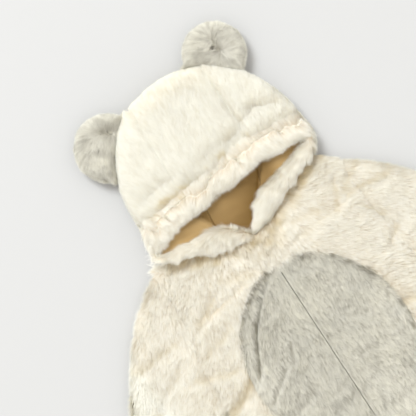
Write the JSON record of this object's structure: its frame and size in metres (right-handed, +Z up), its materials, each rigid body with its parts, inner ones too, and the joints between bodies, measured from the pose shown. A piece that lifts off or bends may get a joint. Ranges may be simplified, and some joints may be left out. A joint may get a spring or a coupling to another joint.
{
  "type": "hooded sleepsuit",
  "caption": "Baby's cream plush all-in-one laid flat, with a round-eared hood, a puffy hood brim, a grey tummy oval, set-in sleeves and open cuffs and legs.",
  "frame": {"origin": "the middle of the laid-out suit, on the surface that it lies on", "axes": "+X to the viewer's right, +Y from the legs to the top of the hood, +Z up from the surface"},
  "size_m": [0.57, 0.8028, 0.0395],
  "materials": {
    "plush_cream": "long soft cream pile, matt",
    "plush_grey": "long soft warm grey pile, matt",
    "jersey_lining": "fine cotton jersey, matt"
  },
  "bodies": {
    "root": {"back_left": "plush_cream", "back_right": "plush_cream", "front_left": "plush_cream", "front_right": "plush_cream", "patch_left": "plush_grey", "patch_right": "plush_grey", "sleeve_left": "plush_cream", "sleeve_right": "plush_cream", "hood_center": "plush_cream", "hood_left": "plush_cream", "hood_right": "plush_cream", "hood_brim": "plush_cream", "band_left": "plush_cream", "band_right": "plush_cream", "lining_center": "jersey_lining", "lining_left": "jersey_lining", "lining_right": "jersey_lining", "ear_left": "plush_grey", "ear_right": "plush_grey"}
  },
  "joints": []
}
